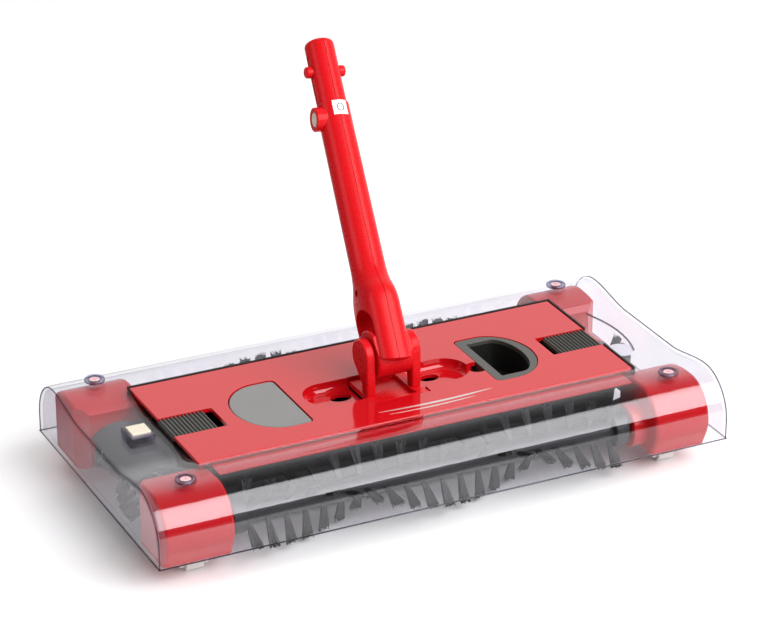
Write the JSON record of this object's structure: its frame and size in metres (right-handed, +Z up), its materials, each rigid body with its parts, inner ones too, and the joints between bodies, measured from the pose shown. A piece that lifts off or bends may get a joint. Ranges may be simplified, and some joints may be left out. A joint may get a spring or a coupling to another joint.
{
  "type": "carpet sweeper",
  "caption": "Cordless carpet sweeper head with a clear cover, brushes on all sides, a drop-open dust tray and a swivelling handle socket.",
  "frame": {"origin": "on the floor under the middle of the whole object, handle included", "axes": "+X along the head to the right, +Y to the rear, +Z up"},
  "size_m": [0.32, 0.2072, 0.1952],
  "materials": {
    "clear_plastic": "clear gloss moulding with a faint lavender tint",
    "red_gloss": "mirror gloss red ABS",
    "red_satin": "satin gloss red ABS",
    "black_plastic": "black moulded plastic",
    "dark_plastic": "warm dark grey moulded plastic",
    "silver_plastic": "silver grey satin plastic",
    "bristle": "black nylon bristle tufts on a plastic core",
    "white_plastic": "natural white acetal",
    "rubber_belt": "black rubber belt",
    "keeper": "cream plated steel",
    "steel": "bright steel"
  },
  "bodies": {
    "head": {"brush_guard": "black_plastic", "chassis": "black_plastic", "clear_cover": "clear_plastic", "cover_screw_1": "steel", "cover_screw_2": "steel", "cover_screw_3": "steel", "cover_screw_4": "steel", "drive_belt": "rubber_belt", "gearbox_front_left": "red_gloss", "gearbox_front_right": "red_gloss", "gearbox_rear_left": "red_gloss", "gearbox_rear_right": "red_gloss", "keeper_plate": "keeper", "latch_spring_left": "steel", "latch_spring_right": "steel", "microswitch": "black_plastic", "motor": "steel", "pitch_pin_left": "steel", "pitch_pin_right": "steel", "top_panel": "red_gloss", "tray_hinge_pin_left": "steel", "tray_hinge_pin_right": "steel", "wheel_axle_1": "steel", "wheel_axle_2": "steel", "wheel_axle_3": "steel", "wheel_axle_4": "steel", "yoke": "red_satin"},
    "front_brush_body": {"front_brush": "bristle", "mitre_gear_front_left_a": "white_plastic", "mitre_gear_front_right_a": "white_plastic"},
    "rear_brush_body": {"rear_brush": "bristle", "mitre_gear_rear_left_a": "white_plastic", "mitre_gear_rear_right_a": "white_plastic"},
    "side_brush_left_body": {"side_brush_left": "bristle", "mitre_gear_front_left_b": "white_plastic", "mitre_gear_rear_left_b": "white_plastic", "brush_pulley": "white_plastic"},
    "side_brush_right_body": {"side_brush_right": "bristle", "mitre_gear_front_right_b": "white_plastic", "mitre_gear_rear_right_b": "white_plastic"},
    "motor_rotor": {"motor_shaft": "steel", "motor_pulley": "white_plastic"},
    "pack": {"battery_pack": "dark_plastic"},
    "pedal": {"power_pedal": "silver_plastic"},
    "left_latch": {"latch_left": "dark_plastic"},
    "right_latch": {"latch_right": "dark_plastic"},
    "tray": {"dust_tray": "dark_plastic"},
    "knuckle_body": {"knuckle": "red_satin"},
    "handle": {"handle_shell_left": "red_satin", "handle_shell_right": "red_satin", "fork_pin": "steel", "handle_magnet": "keeper"},
    "left_button": {"snap_button_left": "red_satin"},
    "right_button": {"snap_button_right": "red_satin"},
    "roller_1": {"wheel_1": "white_plastic"},
    "roller_2": {"wheel_2": "white_plastic"},
    "roller_3": {"wheel_3": "white_plastic"},
    "roller_4": {"wheel_4": "white_plastic"}
  },
  "joints": [
    {"name": "front_brush_spin", "type": "hinge", "parent": "head", "child": "front_brush_body", "pos_m": [0, -0.0796, 0.0228], "axis": [1, 0, 0], "continuous": true},
    {"name": "rear_brush_spin", "type": "hinge", "parent": "head", "child": "rear_brush_body", "pos_m": [0, 0.0384, 0.0228], "axis": [1, 0, 0], "continuous": true},
    {"name": "side_brush_left_spin", "type": "hinge", "parent": "head", "child": "side_brush_left_body", "pos_m": [-0.138, -0.0206, 0.0228], "axis": [0, 1, 0], "continuous": true},
    {"name": "side_brush_right_spin", "type": "hinge", "parent": "head", "child": "side_brush_right_body", "pos_m": [0.138, -0.0206, 0.0228], "axis": [0, 1, 0], "continuous": true},
    {"name": "motor_spin", "type": "hinge", "parent": "head", "child": "motor_rotor", "pos_m": [-0.1, -0.0206, 0.0355], "axis": [0, 1, 0], "continuous": true},
    {"name": "roller_1_spin", "type": "hinge", "parent": "head", "child": "roller_1", "pos_m": [-0.134, -0.0826, 0.0044], "axis": [1, 0, 0], "continuous": true},
    {"name": "roller_2_spin", "type": "hinge", "parent": "head", "child": "roller_2", "pos_m": [0.134, -0.0826, 0.0044], "axis": [1, 0, 0], "continuous": true},
    {"name": "roller_3_spin", "type": "hinge", "parent": "head", "child": "roller_3", "pos_m": [-0.134, 0.0414, 0.0044], "axis": [1, 0, 0], "continuous": true},
    {"name": "roller_4_spin", "type": "hinge", "parent": "head", "child": "roller_4", "pos_m": [0.134, 0.0414, 0.0044], "axis": [1, 0, 0], "continuous": true},
    {"name": "pack_lift", "type": "slide", "parent": "head", "child": "pack", "axis": [0, 0, 1], "range_m": [0, 0.035]},
    {"name": "pedal_press", "type": "slide", "parent": "head", "child": "pedal", "axis": [0, 0, -1], "range_m": [0, 0.002], "stiffness_N_per_m": 300, "springref_m": -0.001},
    {"name": "latch_left_slide", "type": "slide", "parent": "head", "child": "left_latch", "axis": [1, 0, 0], "range_m": [0, 0.003], "stiffness_N_per_m": 300, "springref_m": -0.001},
    {"name": "latch_right_slide", "type": "slide", "parent": "head", "child": "right_latch", "axis": [-1, 0, 0], "range_m": [0, 0.003], "stiffness_N_per_m": 300, "springref_m": -0.001},
    {"name": "tray_drop", "type": "hinge", "parent": "head", "child": "tray", "pos_m": [0, 0.0144, 0.012], "axis": [1, 0, 0], "range_deg": [0, 80]},
    {"name": "handle_pitch", "type": "hinge", "parent": "head", "child": "knuckle_body", "pos_m": [0, -0.0256, 0.066], "axis": [-1, 0, 0], "range_deg": [-45, 15]},
    {"name": "handle_roll", "type": "hinge", "parent": "knuckle_body", "child": "handle", "pos_m": [0, -0.0256, 0.066], "axis": [0, -0.7071, 0.7071], "range_deg": [-83.5, 96.5]},
    {"name": "button_left_press", "type": "slide", "parent": "handle", "child": "left_button", "axis": [0.9936, -0.08, -0.08], "range_m": [0, 0.0032], "stiffness_N_per_m": 300, "springref_m": -0.001},
    {"name": "button_right_press", "type": "slide", "parent": "handle", "child": "right_button", "axis": [-0.9936, 0.08, 0.08], "range_m": [0, 0.0032], "stiffness_N_per_m": 300, "springref_m": -0.001}
  ],
  "couplings": [
    {"joint": "rear_brush_spin", "follows": "front_brush_spin", "ratio": -1},
    {"joint": "side_brush_left_spin", "follows": "front_brush_spin", "ratio": -1},
    {"joint": "side_brush_right_spin", "follows": "front_brush_spin", "ratio": 1},
    {"joint": "motor_spin", "follows": "front_brush_spin", "ratio": -1.8}
  ]
}
